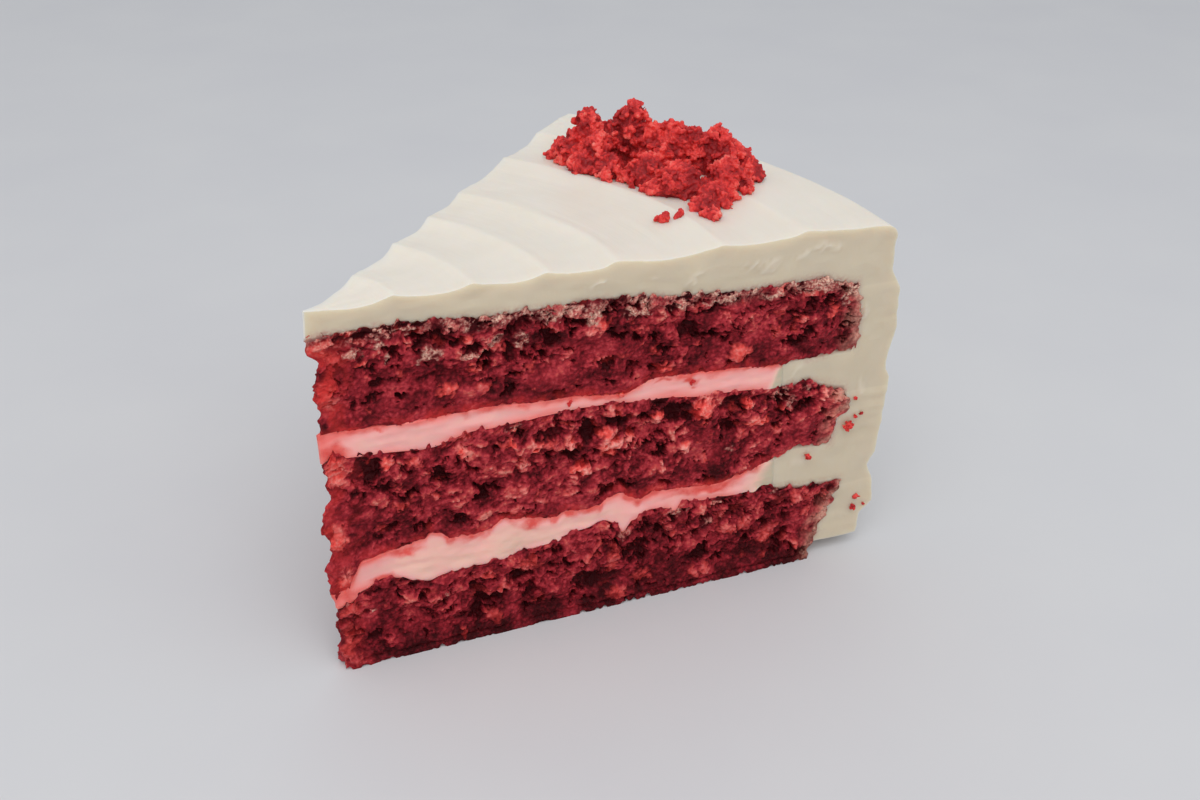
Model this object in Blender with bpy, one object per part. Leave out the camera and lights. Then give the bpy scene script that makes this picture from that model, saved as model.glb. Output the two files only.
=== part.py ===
"""A slice of red velvet cake, an eighth of a round cake about 23 cm across.

Three sponges with frosting between them, a coat of frosting over the top and round the
outside, and a heap of sponge crumbs on the coat. Metres, +Z up, the tip of the slice
towards -X and its rounded back towards +X.

Each layer starts as its part of one flat section grid, which runs from the tip to the
back and from the base to the top. The section is spun round the cake's axis, and every
grid point then goes to its place in the cake.
"""

import math
import random

import bpy
import bmesh
from mathutils import Matrix, Vector, noise

MM = 0.001

# The slice
SLICE_ANGLE = math.radians(46.8)
SPIN_STEPS = 8
TIP_RADIUS = 0.9 * MM
SPONGE_RADIUS = 107.5 * MM
WALL_RADIUS = 117.7 * MM
TONGUE_RADIUS = 91.5 * MM
HEM_HEIGHT = 3.0 * MM
FIT_GAP = 0.34 * MM

# The section grid
STATION_SPACING = 4.0 * MM
WALL_COLUMNS = 2
BLOCKS = (
    ("sponge_bottom", 6),
    ("filling_lower", 2),
    ("sponge_middle", 6),
    ("filling_upper", 2),
    ("sponge_top", 6),
    ("frosting_coat", 2),
)

# Tops and undersides of the sponges at the cut: (mm from the cake's axis, mm above the base)
BOTTOM_SPONGE_TOP = (
    (0, 14.6), (12, 17.8), (21, 16.2), (38, 18.1), (54, 20.6), (59, 18.6), (71, 21.8), (96, 20.0),
    (108, 17.9),
)
MIDDLE_SPONGE_BASE = (
    (0, 17.1), (7, 23.5), (19, 26.2), (26, 24.7), (44, 24.4), (53, 26.4), (66, 24.8), (84, 24.8), (95, 27.6),
    (108, 28.4),
)
MIDDLE_SPONGE_TOP = (
    (0, 46.2), (10, 46.6), (19, 45.5), (29, 47.4), (51, 47.9), (66, 46.7), (77, 45.3), (96, 43.9),
    (108, 40.6),
)
TOP_SPONGE_BASE = (
    (0, 52.1), (30, 51.8), (45, 50.8), (58, 49.3), (64, 51.4), (80, 50.4), (90, 49.4), (108, 50.0),
)
TOP_SPONGE_TOP = (
    (0, 72.0), (12, 71.8), (33, 70.3), (55, 69.8), (70, 68.0), (84, 66.8), (99, 66.8), (108, 64.5),
)

# How far the crumbling tip stands out past the cake's axis: (mm above the base, mm)
TIP_REACH = (
    (0, 0.0), (4, 0.5), (8, -0.3), (15, -0.4), (22, 0.9), (27, 0.3), (32, 2.1), (38.5, -1.6), (48, -0.2),
    (53, 0.0), (57, -1.0), (60, -0.2), (65.5, -1.4), (69.5, 1.2), (73, 0.5),
)
TIP_LENGTH = 10 * MM
TIP_STAND_OUT = 2.1 * MM

# Upright outlines: (mm above the base, mm from the cake's axis)
SPONGE_EDGE = (
    (0, 101.5), (5.6, 104.4), (14.5, 107.4), (18, 108.3), (28, 105.0), (33, 106.3), (37, 108.4), (41, 107.0),
    (50, 108.3), (58, 108.6), (65, 106.8),
)
COAT_WALL = (
    (3, 114.4), (7.5, 114.6), (11, 117.4), (16, 117.0), (20, 115.3), (24, 116.7), (35, 117.1), (41, 117.5),
    (44.5, 116.2), (53, 117.7), (61, 117.3), (67, 114.9), (75, 115.0),
)

# The spatula left a ridge at each of these radii on the top, steep on its inner side
RIDGE_RADII = tuple(radius * MM for radius in (0, 15, 29, 42.5, 56, 77, 94.5))
TROUGH_SHARE = 0.6
TROUGH_HEIGHT = 75.9 * MM
RIDGE_HEIGHT = 77.0 * MM
RIM_HEIGHT = 75.2 * MM

# Unevenness
LEVEL_WANDER = 0.9 * MM
WALL_WANDER = 0.6 * MM
WANDER_LENGTH = 34 * MM
CRAG_DEPTH = 1.2 * MM
CRAG_SIZE = 5.5 * MM
PIT_DEPTH = 2.2 * MM
PIT_SIZE = 7.0 * MM
PIT_THRESHOLD = 0.18
PIT_SPREAD = 0.75
CRAG_FADE_RADIUS = 16 * MM
FOOT_FLARE = 1.4 * MM
FOOT_HEIGHT = 5 * MM
GRID_JITTER = 0.9 * MM

# The deepest pits in the cut that shows: (mm from the cake's axis, mm above the base, mm long, mm high)
PITS = (
    (22.5, 67.5, 6, 4), (43, 64, 4, 4), (70.5, 61, 5, 3.5), (96, 55, 7, 3), (7.5, 43.5, 5, 5),
    (30, 33.5, 5, 4), (51, 42.5, 5, 4.5), (69, 43, 7.5, 4), (82, 42, 6, 4.5), (17, 12.5, 4, 4),
    (30, 8, 6, 6), (36, 12.5, 4, 4), (51, 7.5, 6, 4.5), (61.5, 13, 5.5, 5), (76, 8, 4, 5),
    (83.5, 16, 4.5, 4),
)

# The heap of crumbs: (mm along X from the tip, mm along Y, mm radius, mm height above the frosting)
MOUNDS = (
    (82.8, 20.5, 5, 7), (82, 24.5, 3, 4.5), (79.5, 15, 4, 4), (85.5, 19.5, 5.2, 11.5), (84, 15, 5, 8),
    (88.5, 16, 5, 9), (90.5, 11.5, 6, 13.6), (82, 10, 5, 5), (93, 2.5, 7, 10.5), (85.5, 1.5, 6, 6.5),
    (81.5, -3.5, 3.5, 3), (97, 0, 5, 9), (99, -4.5, 6, 10), (102, -7.5, 4.5, 6.5), (101.5, -11.5, 3.5, 4.5),
    (86, -5.5, 6.5, 6.5), (94, -12, 5.5, 6), (88, -13, 5, 4), (82.5, -15.5, 3.2, 3.2),
    (80.5, -19.5, 2.2, 2.2),
)
CRUMB_COUNT = 130
CRUMB_RADIUS = (1.2 * MM, 2.5 * MM)
CRUMB_SINK = 0.4
CRUMB_SEED = 11


def along(outline, place):
    """The value of an outline of (place, value) pairs in mm, eased from point to point."""
    place = place / MM
    if place <= outline[0][0]:
        return outline[0][1] * MM
    for (start, low), (end, high) in zip(outline, outline[1:]):
        if place <= end:
            share = (place - start) / (end - start)
            return (low + (high - low) * share * share * (3 - 2 * share)) * MM
    return outline[-1][1] * MM


def wander(radius, angle, layer):
    """A slow unevenness from -1 to 1 that is nil at the cut face towards -Y."""
    def here(turn):
        place = Vector((radius * math.cos(turn), radius * math.sin(turn), 0)) / WANDER_LENGTH
        return noise.noise(place + Vector((0, 0, 3.7 * layer + 0.5)))
    return here(angle) - here(-SLICE_ANGLE / 2)


def frosting_top(radius, angle):
    """Height of the coat's top: rings of low ridges, then a drop at the rim."""
    radius = max(0, radius + LEVEL_WANDER * wander(radius, angle, 9))
    last = RIDGE_RADII[-1]
    if radius >= last:
        share = (radius - last) / (WALL_RADIUS - last)
        return RIDGE_HEIGHT + (RIM_HEIGHT - RIDGE_HEIGHT) * share
    for inner, outer in zip(RIDGE_RADII, RIDGE_RADII[1:]):
        if radius <= outer:
            trough = inner + TROUGH_SHARE * (outer - inner)
            if radius < trough:
                share = (radius - inner) / (trough - inner)
            else:
                share = (outer - radius) / (outer - trough)
            return RIDGE_HEIGHT + (TROUGH_HEIGHT - RIDGE_HEIGHT) * share * share * (3 - 2 * share)


def level(index, radius, angle, base):
    """Height of one of the seven levels of the section, from the base to the coat's top."""
    if index == 0:
        return base
    if index == len(BLOCKS):
        return frosting_top(radius, angle)
    outline = (
        BOTTOM_SPONGE_TOP, MIDDLE_SPONGE_BASE, MIDDLE_SPONGE_TOP, TOP_SPONGE_BASE, TOP_SPONGE_TOP,
    )[index - 1]
    return along(outline, radius) + LEVEL_WANDER * wander(radius, angle, index)


def station_radii():
    """Radii of the grid's columns inside the sponge: each ridge and trough, and steps between them."""
    knots = [TIP_RADIUS]
    for inner, outer in zip(RIDGE_RADII, RIDGE_RADII[1:]):
        knots += [inner + TROUGH_SHARE * (outer - inner), outer]
    knots.append(SPONGE_RADIUS)
    radii = []
    for start, end in zip(knots, knots[1:]):
        steps = max(1, round((end - start) / STATION_SPACING))
        radii += [start + (end - start) * step / steps for step in range(steps)]
    return radii + [SPONGE_RADIUS]


STATIONS = station_radii()
SPONGE_COLUMNS = len(STATIONS) - 1
COLUMNS = SPONGE_COLUMNS + WALL_COLUMNS
ROWS = sum(count for _, count in BLOCKS)
TONGUE_COLUMN = min(range(SPONGE_COLUMNS), key=lambda column: abs(STATIONS[column] - TONGUE_RADIUS))


def block_of(row):
    """Index of the block that holds a row of cells, and the row it starts at."""
    start = 0
    for index, (_, count) in enumerate(BLOCKS):
        if row < start + count:
            return index, start
        start += count
    return len(BLOCKS) - 1, start - BLOCKS[-1][1]


def owner(column, row):
    """Name of the layer that a cell of the section belongs to."""
    column = min(max(column, 0), COLUMNS - 1)
    row = min(max(row, 0), ROWS - 1)
    name = BLOCKS[block_of(row)[0]][0]
    in_tongue = name.startswith("filling") and column >= TONGUE_COLUMN
    if column >= SPONGE_COLUMNS or in_tongue:
        return "frosting_coat"
    return name


def gap_direction(name, column, row):
    """Which way a layer's grid point moves to leave the gap to its neighbours: signs in (radius, height)."""
    away = [0, 0]
    for side in (-1, 0):
        for floor in (-1, 0):
            if owner(column + side, row + floor) != name:
                away[0] -= 1 if side == 0 else -1
                away[1] -= 1 if floor == 0 else -1
    return [max(-1, min(1, way)) for way in away]


def section_point(name, column, row, angle):
    """Radius and height of a grid point of one layer, at one angle round the slice."""
    index, start = block_of(row)
    share = (row - start) / BLOCKS[index][1]
    if row == ROWS:
        share = 1
    base = HEM_HEIGHT if name == "frosting_coat" else 0
    radius = STATIONS[min(column, SPONGE_COLUMNS)]
    low = level(index, radius, angle, base)
    high = level(index + 1, radius, angle, base)
    height = low + (high - low) * share
    if column > SPONGE_COLUMNS:
        edge = along(SPONGE_EDGE, height)
        wall = along(COAT_WALL, height) + WALL_WANDER * wander(height, angle, 12)
        across = (column - SPONGE_COLUMNS) / WALL_COLUMNS
        radius = edge + (wall - edge) * across
        if index == len(BLOCKS) - 1:
            high = level(index + 1, radius, angle, base)
            height = low + (high - low) * share
    else:
        reach = max(0, (radius / SPONGE_RADIUS - 0.86) / 0.14)
        radius += (along(SPONGE_EDGE, height) - SPONGE_RADIUS) * reach
    away = gap_direction(name, column, row)
    return radius + away[0] * FIT_GAP / 2, height + away[1] * FIT_GAP / 2


def pit(radius, height, side):
    """How deep a cut is pitted, from 0 to 1: measured pits towards -Y, scattered ones towards +Y."""
    if side > 0:
        place = Vector((radius, 0, height)) / PIT_SIZE
        return min(1, max(0, noise.noise(place + Vector((5.3, 0, 8.1))) - PIT_THRESHOLD) / 0.2)
    deepest = 0
    for across, up, length, tall in PITS:
        along_pit = (radius / MM - across) / (PIT_SPREAD * length)
        up_pit = (height / MM - up) / (PIT_SPREAD * tall)
        deepest = max(deepest, 1 - along_pit * along_pit - up_pit * up_pit)
    return deepest


def crag(radius, height, side):
    """How far a torn sponge face stands out of the cut at one place."""
    place = Vector((radius, side * 0.5, height))
    depth = CRAG_DEPTH * noise.noise(place / CRAG_SIZE) - PIT_DEPTH * pit(radius, height, side)
    depth += FOOT_FLARE * max(0, 1 - height / FOOT_HEIGHT)
    return depth * min(1, radius / CRAG_FADE_RADIUS)


def layer_mesh(name, cells, lift=0.0):
    """The closed mesh of one layer: its cells of the section grid, spun and set in place."""
    bm = bmesh.new()
    bmesh.ops.create_grid(bm, x_segments=COLUMNS, y_segments=ROWS, size=0.5)
    spare = []
    for face in bm.faces:
        middle = face.calc_center_median()
        cell = math.floor((middle.x + 0.5) * COLUMNS), math.floor((middle.y + 0.5) * ROWS)
        if not cells(*cell):
            spare.append(face)
    bmesh.ops.delete(bm, geom=spare, context="FACES")
    column_of = bm.verts.layers.int.new("column")
    row_of = bm.verts.layers.int.new("row")
    for vert in bm.verts:
        vert[column_of] = round((vert.co.x + 0.5) * COLUMNS)
        vert[row_of] = round((vert.co.y + 0.5) * ROWS)
        vert.co = Vector((1 + vert[column_of], 0, vert[row_of]))
    bmesh.ops.rotate(bm, verts=bm.verts, cent=(0, 0, 0), matrix=Matrix.Rotation(-SLICE_ANGLE / 2, 3, "Z"))
    bmesh.ops.spin(
        bm, geom=bm.verts[:] + bm.edges[:] + bm.faces[:], cent=(0, 0, 0), axis=(0, 0, 1),
        angle=SLICE_ANGLE, steps=SPIN_STEPS,
    )
    column_of = bm.verts.layers.int["column"]
    row_of = bm.verts.layers.int["row"]
    for vert in bm.verts:
        column, row = vert[column_of], vert[row_of]
        angle = math.atan2(vert.co.y, vert.co.x)
        radius, height = section_point(name, column, row, angle)
        on_cut = abs(angle) > SLICE_ANGLE / 2 - 0.01
        if on_cut and name.startswith("sponge"):
            if gap_direction(name, column, row) == [0, 0] and 0 < row and column > 2:
                place = Vector((column, row, angle)) * 1.7
                radius += GRID_JITTER * noise.noise(place)
                height += GRID_JITTER * noise.noise(place + Vector((0, 0, 7.3)))
            side = math.copysign(1, angle)
            angle += side * crag(radius, height, side) / radius
        reach = (TIP_RADIUS + along(TIP_REACH, height)) * max(0, 1 - radius / TIP_LENGTH)
        vert.co = Vector((radius * math.cos(angle) - reach, radius * math.sin(angle), height + lift))
    bmesh.ops.recalc_face_normals(bm, faces=bm.faces)
    mesh = bpy.data.meshes.new(name)
    bm.to_mesh(mesh)
    bm.free()
    return mesh


def food_material(name, colour, roughness, softness):
    """A Principled material: colour in linear RGB, and how far light soaks in."""
    material = bpy.data.materials.new(name)
    material.use_nodes = True
    shader = material.node_tree.nodes["Principled BSDF"]
    shader.inputs["Base Color"].default_value = (*colour, 1)
    shader.inputs["Metallic"].default_value = 0
    shader.inputs["Roughness"].default_value = roughness
    shader.inputs["Subsurface Weight"].default_value = softness
    shader.inputs["Subsurface Scale"].default_value = 2 * MM
    material.diffuse_color = (*colour, 1)
    return material


def add_part(name, mesh, material, collection, parent):
    """Put a mesh in a collection as a named object of one material, placed from the cake's axis."""
    mesh.materials.clear()
    mesh.materials.append(material)
    part = bpy.data.objects.new(name, mesh)
    collection.objects.link(part)
    part.parent = parent
    mesh.shade_smooth()
    mesh.set_sharp_from_angle(angle=math.radians(35))
    return part


def lump(name, centre, radii, subdivisions, unevenness, draw):
    """An uneven ball of crumb, in the collection of pieces that the heap is joined from."""
    bm = bmesh.new()
    bmesh.ops.create_icosphere(bm, subdivisions=subdivisions, radius=1)
    turn = Matrix.Rotation(draw.uniform(0, math.tau), 3, Vector((draw.random(), draw.random(), 1)))
    for vert in bm.verts:
        swell = 1 + unevenness * draw.uniform(-1, 1)
        spot = turn @ vert.co * swell
        vert.co = Vector([spot[axis] * radii[axis] + centre[axis] for axis in range(3)])
    mesh = bpy.data.meshes.new(name)
    bm.to_mesh(mesh)
    bm.free()
    return bpy.data.objects.new(name, mesh)


def crumb_places(draw):
    """Centres and radii of the crumbs on the mounds, each more than half sunk in its mound."""
    areas = [radius * (radius + height) for _, _, radius, height in MOUNDS]
    for _ in range(CRUMB_COUNT):
        x, y, radius, height = draw.choices(MOUNDS, areas)[0]
        size = draw.uniform(*CRUMB_RADIUS)
        turn = draw.uniform(0, math.tau)
        rise = draw.random()
        reach = radius * MM * math.sqrt(1 - rise * rise) - CRUMB_SINK * size
        centre = Vector((x * MM + reach * math.cos(turn), y * MM + reach * math.sin(turn), 0))
        ground = frosting_top(centre.length, math.atan2(centre.y, centre.x))
        centre.z = ground + max(height * rise * MM - CRUMB_SINK * size, 0.5 * size)
        yield centre, size


def apply_boolean(part, operation, **operand):
    """Join or cut an object with another object or a collection, and keep the result as its mesh."""
    modifier = part.modifiers.new(operation.lower(), "BOOLEAN")
    modifier.operation = operation
    for setting, value in operand.items():
        setattr(modifier, setting, value)
    evaluated = part.evaluated_get(bpy.context.evaluated_depsgraph_get())
    mesh = bpy.data.meshes.new_from_object(evaluated)
    part.modifiers.remove(modifier)
    part.data = mesh


def drop_scraps(mesh):
    """Keep only the largest body of a mesh whose faces are joined along edges."""
    bm = bmesh.new()
    bm.from_mesh(mesh)
    unseen = set(bm.faces)
    bodies = []
    while unseen:
        body = [unseen.pop()]
        for face in body:
            linked = {other for edge in face.edges for other in edge.link_faces} & unseen
            unseen -= linked
            body.extend(linked)
        bodies.append(body)
    bodies.sort(key=len)
    for body in bodies[:-1]:
        bmesh.ops.delete(bm, geom=body, context="FACES")
    bm.to_mesh(mesh)
    bm.free()


def crumb_heap(collection, cutters):
    """The heap's mesh: mounds and crumbs joined, then cut to the frosting that they lie on."""
    draw = random.Random(CRUMB_SEED)
    pieces = bpy.data.collections.new("crumb pieces")
    bpy.context.scene.collection.children.link(pieces)
    lumps = []
    for number, (x, y, radius, height) in enumerate(MOUNDS):
        centre = Vector((x, y, 0)) * MM
        centre.z = frosting_top(centre.length, math.atan2(centre.y, centre.x))
        radii = (radius * MM, radius * MM, height * MM)
        lumps.append(lump(f"mound {number}", centre, radii, 2, 0.18, draw))
    for number, (centre, size) in enumerate(crumb_places(draw)):
        lumps.append(lump(f"crumb {number}", centre, (size, size, size), 1, 0.3, draw))
    heap = lumps[0]
    collection.objects.link(heap)
    for piece in lumps[1:]:
        pieces.objects.link(piece)
    apply_boolean(heap, "UNION", operand_type="COLLECTION", collection=pieces)
    for piece in lumps[1:]:
        bpy.data.objects.remove(piece)
    bpy.data.collections.remove(pieces)
    top_row = ROWS - BLOCKS[-1][1]
    cutter = bpy.data.objects.new(
        "frosting cutter", layer_mesh("frosting_coat", lambda column, row: row >= top_row, FIT_GAP)
    )
    cutters.objects.link(cutter)
    cutter.hide_render = True
    cutter.display_type = "WIRE"
    apply_boolean(heap, "DIFFERENCE", object=cutter)
    mesh = heap.data
    bpy.data.objects.remove(heap)
    drop_scraps(mesh)
    return mesh


def main():
    for old in list(bpy.data.objects):
        bpy.data.objects.remove(old)
    slice_parts = bpy.data.collections.new("red velvet cake slice")
    cutters = bpy.data.collections.new("cutters")
    for collection in (slice_parts, cutters):
        bpy.context.scene.collection.children.link(collection)
    axis = bpy.data.objects.new("cake axis", None)
    axis.location = (-(WALL_RADIUS - TIP_STAND_OUT) / 2, 0, 0)
    axis.empty_display_size = 20 * MM
    slice_parts.objects.link(axis)

    sponge = food_material("velvet sponge", (0.30, 0.025, 0.035), 0.75, 0.1)
    filling = food_material("stained filling", (0.80, 0.36, 0.32), 0.45, 0.3)
    frosting = food_material("cream cheese frosting", (0.78, 0.72, 0.60), 0.45, 0.3)
    crumb = food_material("velvet crumb", (0.52, 0.03, 0.03), 0.7, 0.1)
    for name, _ in BLOCKS:
        material = sponge if name.startswith("sponge") else filling
        if name == "frosting_coat":
            material = frosting
        mesh = layer_mesh(name, lambda column, row: owner(column, row) == name)
        add_part(name, mesh, material, slice_parts, axis)
    add_part("crumb_topping", crumb_heap(slice_parts, cutters), crumb, slice_parts, axis)


main()
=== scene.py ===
"""The looks of a slice of red velvet cake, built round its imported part.

Lengths are in millimetres, and angles are round the cake's axis, until a mesh is made.
"""
import math
import random

import bmesh
import bpy
import numpy as np
from mathutils import Matrix, Vector, noise


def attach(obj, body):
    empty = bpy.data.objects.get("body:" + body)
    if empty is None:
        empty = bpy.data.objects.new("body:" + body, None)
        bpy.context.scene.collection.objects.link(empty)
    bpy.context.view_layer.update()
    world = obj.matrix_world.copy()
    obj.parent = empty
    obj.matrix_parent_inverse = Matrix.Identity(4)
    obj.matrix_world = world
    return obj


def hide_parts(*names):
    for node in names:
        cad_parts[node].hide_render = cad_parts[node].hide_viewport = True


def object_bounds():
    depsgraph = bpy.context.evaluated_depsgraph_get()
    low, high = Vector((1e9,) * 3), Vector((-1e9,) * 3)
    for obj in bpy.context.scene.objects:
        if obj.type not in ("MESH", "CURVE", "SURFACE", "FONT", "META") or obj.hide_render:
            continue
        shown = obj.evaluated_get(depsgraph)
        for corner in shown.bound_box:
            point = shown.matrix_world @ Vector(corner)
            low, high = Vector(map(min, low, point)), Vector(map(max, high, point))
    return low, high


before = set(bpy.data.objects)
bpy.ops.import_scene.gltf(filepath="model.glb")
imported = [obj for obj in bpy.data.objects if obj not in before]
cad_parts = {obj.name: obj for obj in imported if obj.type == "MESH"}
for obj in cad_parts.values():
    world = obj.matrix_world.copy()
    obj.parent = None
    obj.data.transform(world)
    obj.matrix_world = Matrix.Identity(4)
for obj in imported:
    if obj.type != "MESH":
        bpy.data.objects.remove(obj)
cad_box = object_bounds()


# ---- The three sponges ---------------------------------------------------------------
# Red velvet sponge: batter dyed red and baked in three shallow tins, stacked and cut through
# with one knife. Both cuts are torn crumb, with granules, open pores and raised crumbs.
MM = 0.001
HALF_ANGLE = math.radians(23.4)
AXIS_X = -57.8
TIP_RADIUS = 0.9
SPONGE_RADIUS = 107.5
SPONGE_THICKNESS = 21.5
CRUMB_STEP = 0.25
SPONGE_TURNS = 12
TURN_CROWDING = 1.6

# Tops and undersides of the sponges at the cut: (mm from the cake's axis, mm above the base)
BOTTOM_SPONGE_TOP = (
    (0, 14.6), (3, 14.6), (6.4, 17), (9.8, 18.6), (13, 18), (16, 16.6), (18.7, 15.7), (21, 16.4), (27, 16.7),
    (33, 16.9), (38, 17.8), (44.5, 18.2), (46.2, 19.4), (50, 19.7), (54.5, 21), (57, 19.8), (58.6, 17),
    (60.5, 19.6), (64.5, 21.2), (68, 20.6), (70, 19.6), (71.8, 21.2), (77, 20.5), (86, 20.2), (88, 19.6),
    (90, 20.9), (95, 19.2), (99, 18.3), (108, 17.9),
)
MIDDLE_SPONGE_BASE = (
    (0, 17.1), (3, 17.6), (4.2, 20), (6.5, 24), (10, 24.6), (18, 25.6), (19.3, 26.8), (21, 26.2), (23, 24.8),
    (30, 24.4), (34, 26.4), (37, 25.8), (44, 24.2), (46.5, 25.2), (50, 24.4), (53.5, 24.9), (55, 26.2),
    (58, 26.8), (60, 25.2), (62, 24.3), (65, 25.2), (70, 24.7), (79, 23.9), (84, 24.6), (88, 26),
    (93, 27.3), (97.5, 28.7), (108, 28.4),
)
MIDDLE_SPONGE_TOP = (
    (0, 46.8), (3, 48), (5.5, 46.8), (10, 46.4), (19, 45.5), (29, 47.4), (51, 47.9), (66, 46.7), (77, 45.3),
    (96, 43.9), (108, 40.6),
)
TOP_SPONGE_BASE = (
    (0, 52.1), (30, 51.8), (45, 50.8), (58, 49.3), (64, 51.4), (80, 50.4), (90, 49.4), (108, 50.0),
)
TOP_SPONGE_TOP = (
    (0, 72.0), (12, 71.8), (33, 70.3), (55, 69.8), (70, 68.0), (84, 66.8), (99, 66.8), (108, 64.5),
)
LEVELS = (((0, 0), (108, 0)), BOTTOM_SPONGE_TOP, MIDDLE_SPONGE_BASE, MIDDLE_SPONGE_TOP, TOP_SPONGE_BASE,
          TOP_SPONGE_TOP)
LEVEL_WANDER = 0.9
WANDER_LENGTH = 34

# How far the crumbling tip stands out past the cake's axis, and where the sponges end: (mm up, mm)
TIP_REACH = (
    (0, -0.1), (3, 0.5), (8, -0.3), (15, -0.4), (18, 0.5), (25, 0.8), (27.5, -0.4), (31, 1.0), (34.3, 1.5),
    (36.9, 0), (38.5, -1.7), (42, -0.7), (48, -0.2), (53.5, 0), (57, -1.1), (60, -0.2), (66, -1.4),
    (69.5, 1.0), (72, 0.5), (76, 0.3),
)
SPONGE_EDGE = (
    (0, 101.5), (5.6, 104.4), (14.5, 107.4), (18, 108.3), (28, 105.0), (33, 106.3), (37, 108.4), (41, 107.0),
    (50, 108.3), (58, 108.6), (65, 106.8),
)
# The tip's length, how far the foot of a cut flares and up to what height, how far behind a cut its
# relief reaches, its deepest share of the radius, and the room that is kept inside the CAD's box
TIP_LENGTH = 10
FOOT_FLARE, FOOT_HEIGHT = 1.4, 5
RELIEF_REACH = 4.5
DEEPEST_SHARE = 0.12
BOX_MARGIN = 0.05
# Relief of a torn cut: its swells, granules, raised crumbs, smears and pores, and the band along
# the edges of a sponge where its cut lies flush with the frosting
SWELL_DEPTH, GRANULE_DEPTH, RAISED_DEPTH, SMEAR_DEPTH, PORE_DEPTH = 1.1, 0.8, 0.7, 0.2, 1.8
FLUSH_BAND = 1.4

# Pores, raised crumbs and smears on the cut towards -Y: (mm from the axis, mm up, mm long, mm high)
PORES = {
    "sponge_top": (
        (22.5, 67.5, 6, 3.5), (20, 66.6, 4, 1.6), (9, 71, 3.5, 2), (13.5, 66.8, 2.4, 1.6),
        (35.3, 66.7, 2.4, 2), (37.8, 67.8, 2.2, 3.5), (35.5, 62.3, 2.2, 3.5), (34.7, 54.7, 2.4, 2.4),
        (43, 64.3, 3.5, 3.5), (49, 66.5, 2.5, 1.5), (70.5, 61, 4, 3), (75, 59.5, 5, 1.5),
        (67.5, 65, 1.4, 3), (93.4, 54.2, 4, 2.4),
        (96.8, 55.5, 4, 2.2), (101, 62, 4, 1.2), (91, 64.3, 2, 1.5), (54, 57, 3, 1.5), (59.3, 55, 2.8, 2),
        (66, 57.3, 3, 1.5), (28.5, 64.5, 3, 1.2), (31.5, 63, 2, 1.5), (57, 62.5, 3, 1.5),
        (97, 61.5, 2.5, 1.2), (83.5, 52.5, 2, 1),
    ),
    "sponge_middle": (
        (7.5, 43.5, 5, 4.5), (15, 42, 1.5, 2), (21.8, 40, 4, 2), (11, 39, 4, 2), (16, 36.5, 3.5, 1.5),
        (29.5, 33, 3, 3), (32, 34.5, 3.5, 1.6), (12, 30, 3, 1.8), (10, 28, 2, 1), (18, 29, 4, 1.6),
        (25.5, 28.3, 3, 1.6), (43.5, 43.5, 5, 3), (45.5, 45, 6, 1.8), (47, 38, 2.3, 2.5), (51, 42.5, 4, 4),
        (57, 44, 5, 3), (62.5, 43.5, 2, 3), (69, 43, 7, 3.5), (73, 41.5, 3.5, 2), (63, 37.5, 2.5, 2),
        (66.3, 35, 2.5, 3.3), (58.5, 35.8, 2, 2), (59, 28.3, 4, 1.6), (76, 32, 1.5, 1), (81.5, 42.5, 6, 4),
        (80.3, 38.3, 1.5, 3), (92.3, 40, 1.6, 4.5), (92, 35, 2.5, 1.5), (104.3, 34, 2, 1.5),
        (100.5, 36, 1.5, 1),
    ),
    "sponge_bottom": (
        (17, 12.5, 3, 3), (14.5, 12, 1.5, 1), (27.5, 12.3, 2, 2), (28.8, 10.6, 2.4, 3), (31, 8.5, 5.5, 3.2),
        (28, 5.6, 3, 4.5), (36, 12.5, 3.5, 3.5), (38.8, 8, 4, 3), (33, 8.5, 2, 2), (46.5, 12.5, 2, 2.5),
        (51, 7.5, 7, 4), (61.8, 13, 5, 3.5), (61.8, 10, 4, 2.4), (66.5, 15.5, 1.5, 2), (47.5, 4, 2, 3),
        (76.5, 9, 2.4, 3), (75.4, 6.8, 2, 3), (80.5, 5.5, 1.5, 3), (44, 16.5, 3, 2), (83.5, 16, 4, 3),
        (90.5, 11.5, 3, 1.5), (94.5, 4.5, 2.5, 3), (85.5, 10.3, 1.5, 1.5), (95, 15, 2.5, 1.5),
        (104, 13.5, 4, 2.5), (106, 17, 2, 2), (97.5, 3.5, 1.5, 2), (77.5, 16, 4, 1.4),
    ),
}
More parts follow.
